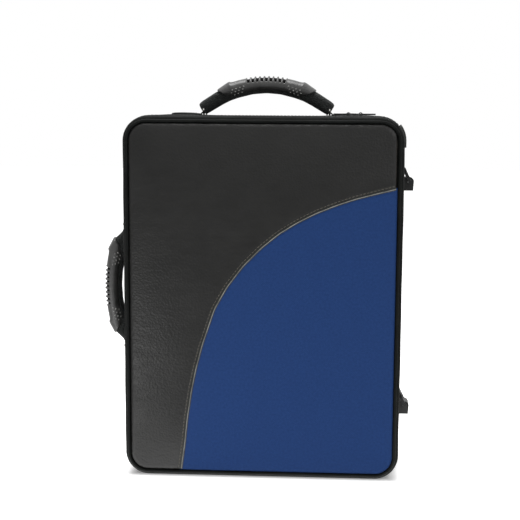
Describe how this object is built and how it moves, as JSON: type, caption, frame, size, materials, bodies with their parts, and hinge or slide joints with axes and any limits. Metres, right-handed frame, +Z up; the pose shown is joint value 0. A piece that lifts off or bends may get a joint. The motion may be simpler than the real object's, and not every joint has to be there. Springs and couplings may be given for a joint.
{
  "type": "clarinet case",
  "caption": "Soft zip-around double clarinet case with a padded two-tone front, top and side handles, strap rings and a fitted foam inside.",
  "frame": {"origin": "centre of the case body's bottom, where it stands", "axes": "+Z up, +X to the spine side (right in the front view), -Y towards the padded front"},
  "size_m": [0.3438, 0.1127, 0.4315],
  "materials": {
    "cloth": "matte",
    "leatherette": "satin",
    "blue_nylon": "matte",
    "grip_rubber": "satin",
    "board": "matte",
    "webbing": "matte",
    "plush": "matte",
    "moulded_plastic": "satin",
    "ring_steel": "satin",
    "zip_metal": "satin",
    "piping_cloth": "matte",
    "zip_nylon": "satin"
  },
  "bodies": {
    "base": {"base_frame": "cloth", "back_board": "board", "back_pad": "cloth", "back_piping": "piping_cloth", "hinge_leaf_base": "cloth", "zip_tape_base": "webbing", "zip_teeth_base": "zip_nylon", "zip_stop_top": "zip_metal", "zip_stop_bottom": "zip_metal", "zip_end_tab_top": "webbing", "zip_end_tab_bottom": "webbing", "top_handle_ring_left": "ring_steel", "top_handle_ring_right": "ring_steel", "top_handle_anchor_left": "webbing", "top_handle_anchor_right": "webbing", "side_handle_ring_lower": "ring_steel", "side_handle_ring_upper": "ring_steel", "side_handle_anchor_lower": "webbing", "side_handle_anchor_upper": "webbing", "strap_anchor_right_upper": "moulded_plastic", "strap_anchor_right_lower": "moulded_plastic", "foam_floor": "plush", "well_rail_1": "plush", "well_rail_2": "plush", "well_rail_3": "plush", "centre_rail": "plush", "cross_rail": "plush", "mid_rail": "plush", "cell_divider_lower": "plush", "cell_divider_upper": "plush", "bell_rail_lower": "plush", "bell_rail_upper": "plush"},
    "lid": {"lid_frame": "cloth", "front_board": "board", "leather_panel": "leatherette", "blue_panel": "blue_nylon", "seam_binding": "leatherette", "front_piping": "piping_cloth", "hinge_leaf_lid": "cloth", "zip_tape_lid": "webbing", "zip_teeth_lid": "zip_nylon", "lid_pad": "plush", "lid_pocket": "cloth"},
    "top_handle": {"top_handle_grip": "grip_rubber", "top_handle_core": "webbing"},
    "side_handle": {"side_handle_grip": "grip_rubber", "side_handle_core": "webbing"},
    "slider_left": {"zip_slider_left": "zip_metal"},
    "slider_right": {"zip_slider_right": "zip_metal"},
    "pull_left": {"zip_pull_left": "moulded_plastic"},
    "pull_right": {"zip_pull_right": "moulded_plastic"},
    "ring_right_upper": {"strap_ring_right_upper": "moulded_plastic"},
    "ring_right_lower": {"strap_ring_right_lower": "moulded_plastic"},
    "accessory_cover": {"accessory_lid": "plush", "accessory_ribbon": "webbing"}
  },
  "joints": [
    {"name": "lid_hinge", "type": "hinge", "parent": "base", "child": "lid", "pos_m": [0.1496, -0.014, 0.195], "axis": [0, 0, 1], "range_deg": [0, 145]},
    {"name": "accessory_lid_hinge", "type": "hinge", "parent": "base", "child": "accessory_cover", "pos_m": [0.1397, -0.011, 0.072], "axis": [0, 0, 1], "range_deg": [0, 101.5]},
    {"name": "top_handle_swing", "type": "hinge", "parent": "base", "child": "top_handle", "pos_m": [0, 0.02, 0.3963], "axis": [1, 0, 0], "range_deg": [-70, 70]},
    {"name": "side_handle_swing", "type": "hinge", "parent": "base", "child": "side_handle", "pos_m": [-0.1553, 0.02, 0.20007], "axis": [0, 0, 1], "range_deg": [-25, 25]},
    {"name": "slider_left_run", "type": "slide", "parent": "base", "child": "slider_left", "axis": [-1, 0, 0], "range_m": [0, 0.2]},
    {"name": "slider_right_run", "type": "slide", "parent": "base", "child": "slider_right", "axis": [1, 0, 0], "range_m": [0, 0.015]},
    {"name": "pull_left_tilt", "type": "hinge", "parent": "slider_left", "child": "pull_left", "pos_m": [0.0894, -0.014, 0.3926], "axis": [0, 1, 0], "range_deg": [0, 110]},
    {"name": "pull_right_tilt", "type": "hinge", "parent": "slider_right", "child": "pull_right", "pos_m": [0.1024, -0.014, 0.3926], "axis": [0, -1, 0], "range_deg": [0, 110]},
    {"name": "ring_right_upper_swing", "type": "hinge", "parent": "base", "child": "ring_right_upper", "pos_m": [0.158, 0.03, 0.31947], "axis": [0, 1, 0], "range_deg": [0, 175]},
    {"name": "ring_right_lower_swing", "type": "hinge", "parent": "base", "child": "ring_right_lower", "pos_m": [0.158, 0.03, 0.06767], "axis": [0, 1, 0], "range_deg": [0, 175]}
  ],
  "couplings": [
    {"joint": "accessory_lid_hinge", "follows": "lid_hinge", "ratio": 0.7}
  ]
}
